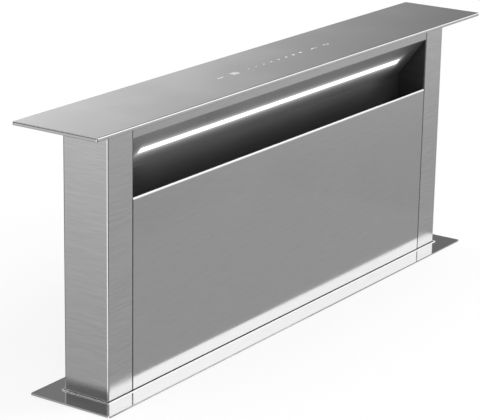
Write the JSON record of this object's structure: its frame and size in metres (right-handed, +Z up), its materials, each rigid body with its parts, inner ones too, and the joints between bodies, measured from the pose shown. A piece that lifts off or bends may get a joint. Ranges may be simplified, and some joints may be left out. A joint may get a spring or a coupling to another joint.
{
  "type": "downdraft vent",
  "caption": "Pop-up downdraft extractor: flat steel riser with cover plate, lit slot mouth and front panel, lifted out of a worktop flange by a chassis with blower, scroll and duct spigot.",
  "frame": {"origin": "middle of the worktop slot, on the worktop's surface that the flange lies on", "axes": "+X along the riser towards the duct spigot's end, +Y towards the wall (the front faces -Y), +Z up"},
  "size_m": [0.88, 0.3107, 0.883],
  "materials": {
    "stainless": "fine straight brush grain along the length",
    "dark_stainless": "brushed, darkened, satin",
    "lamp_diffuser": "opal, lightly glossy",
    "aluminium": "natural satin",
    "filter_mesh": "layered expanded mesh",
    "circuit_board": "lacquered laminate",
    "clear_guide": "clear, polished",
    "black_plastic": "moulded, fine matt",
    "fibreboard": "hard-pressed board",
    "zinc_steel": "zinc-coated, dull spangle",
    "machined_steel": "turned, lightly oiled",
    "spring_steel": "drawn wire",
    "bronze": "turned bearing bronze",
    "motor_case": "black-grey satin casing",
    "white_plastic": "moulded, fine matt",
    "rubber": "matt black",
    "foam": "closed-cell, matt"
  },
  "bodies": {
    "chassis": {"blower_box": "zinc_steel", "blower_cover": "zinc_steel", "chassis_back": "zinc_steel", "chassis_base": "zinc_steel", "chassis_front": "zinc_steel", "chassis_screws": "machined_steel", "chassis_side_left": "zinc_steel", "chassis_side_right": "zinc_steel", "control_board": "circuit_board", "control_box": "zinc_steel", "control_lid": "zinc_steel", "damper_axle": "machined_steel", "damper_spring": "spring_steel", "drive_bay_cover": "zinc_steel", "drive_belt": "rubber", "duct_spigot": "zinc_steel", "fan_motor": "motor_case", "flange_gasket": "foam", "gearmotor": "motor_case", "guide_rails": "zinc_steel", "motor_plate": "zinc_steel", "motor_spider": "zinc_steel", "riser_seal": "rubber", "screw_bearings": "motor_case", "scroll_back": "black_plastic", "scroll_front": "black_plastic", "supply_gland": "black_plastic", "support_brackets": "zinc_steel", "worktop_flange": "stainless"},
    "riser": {"top_plate": "stainless", "plate_backing": "fibreboard", "touch_light_guide": "clear_guide", "touch_board": "circuit_board", "touch_housing": "black_plastic", "post_right": "stainless", "post_left": "stainless", "post_plates": "zinc_steel", "header_strip": "stainless", "light_panel": "dark_stainless", "lamp_lens": "lamp_diffuser", "lamp_profile": "aluminium", "lamp_board": "circuit_board", "lamp_driver": "white_plastic", "front_panel": "stainless", "back_panel": "stainless", "panel_screws": "machined_steel", "panel_catches": "white_plastic", "crossbars": "zinc_steel", "drip_tray": "zinc_steel", "filter_frames": "aluminium", "filter_meshes": "filter_mesh", "filter_rails": "zinc_steel", "lift_nuts": "bronze", "slide_shoes": "black_plastic"},
    "screw_left": {"lead_screw_left": "machined_steel"},
    "screw_right": {"lead_screw_right": "machined_steel"},
    "impeller": {"fan_wheel": "black_plastic", "fan_shaft": "machined_steel"},
    "flap_front": {"damper_flap_front": "aluminium"},
    "flap_back": {"damper_flap_back": "aluminium"}
  },
  "joints": [
    {"name": "lift", "type": "slide", "parent": "chassis", "child": "riser", "axis": [0, 0, 1], "range_m": [-0.332, 0]},
    {"name": "screw_left_spin", "type": "hinge", "parent": "chassis", "child": "screw_left", "pos_m": [-0.36205, 0, 0], "axis": [0, 0, 1], "range_deg": [-5976, 0]},
    {"name": "screw_right_spin", "type": "hinge", "parent": "chassis", "child": "screw_right", "pos_m": [0.36205, 0, 0], "axis": [0, 0, 1], "range_deg": [-5976, 0]},
    {"name": "impeller_spin", "type": "hinge", "parent": "chassis", "child": "impeller", "pos_m": [-0.02, -0.146, -0.28], "axis": [0, 1, 0], "continuous": true},
    {"name": "damper_flap_front_swing", "type": "hinge", "parent": "chassis", "child": "flap_front", "pos_m": [0.22, -0.146, -0.197], "axis": [0, 0, 1], "range_deg": [0, 78], "stiffness_Nm_per_rad": 0.01},
    {"name": "damper_flap_back_swing", "type": "hinge", "parent": "chassis", "child": "flap_back", "pos_m": [0.22, -0.146, -0.197], "axis": [0, 0, -1], "range_deg": [0, 78], "stiffness_Nm_per_rad": 0.01}
  ],
  "couplings": [
    {"joint": "screw_left_spin", "follows": "lift", "rad_per_m": 314.16},
    {"joint": "screw_right_spin", "follows": "lift", "rad_per_m": 314.16}
  ]
}
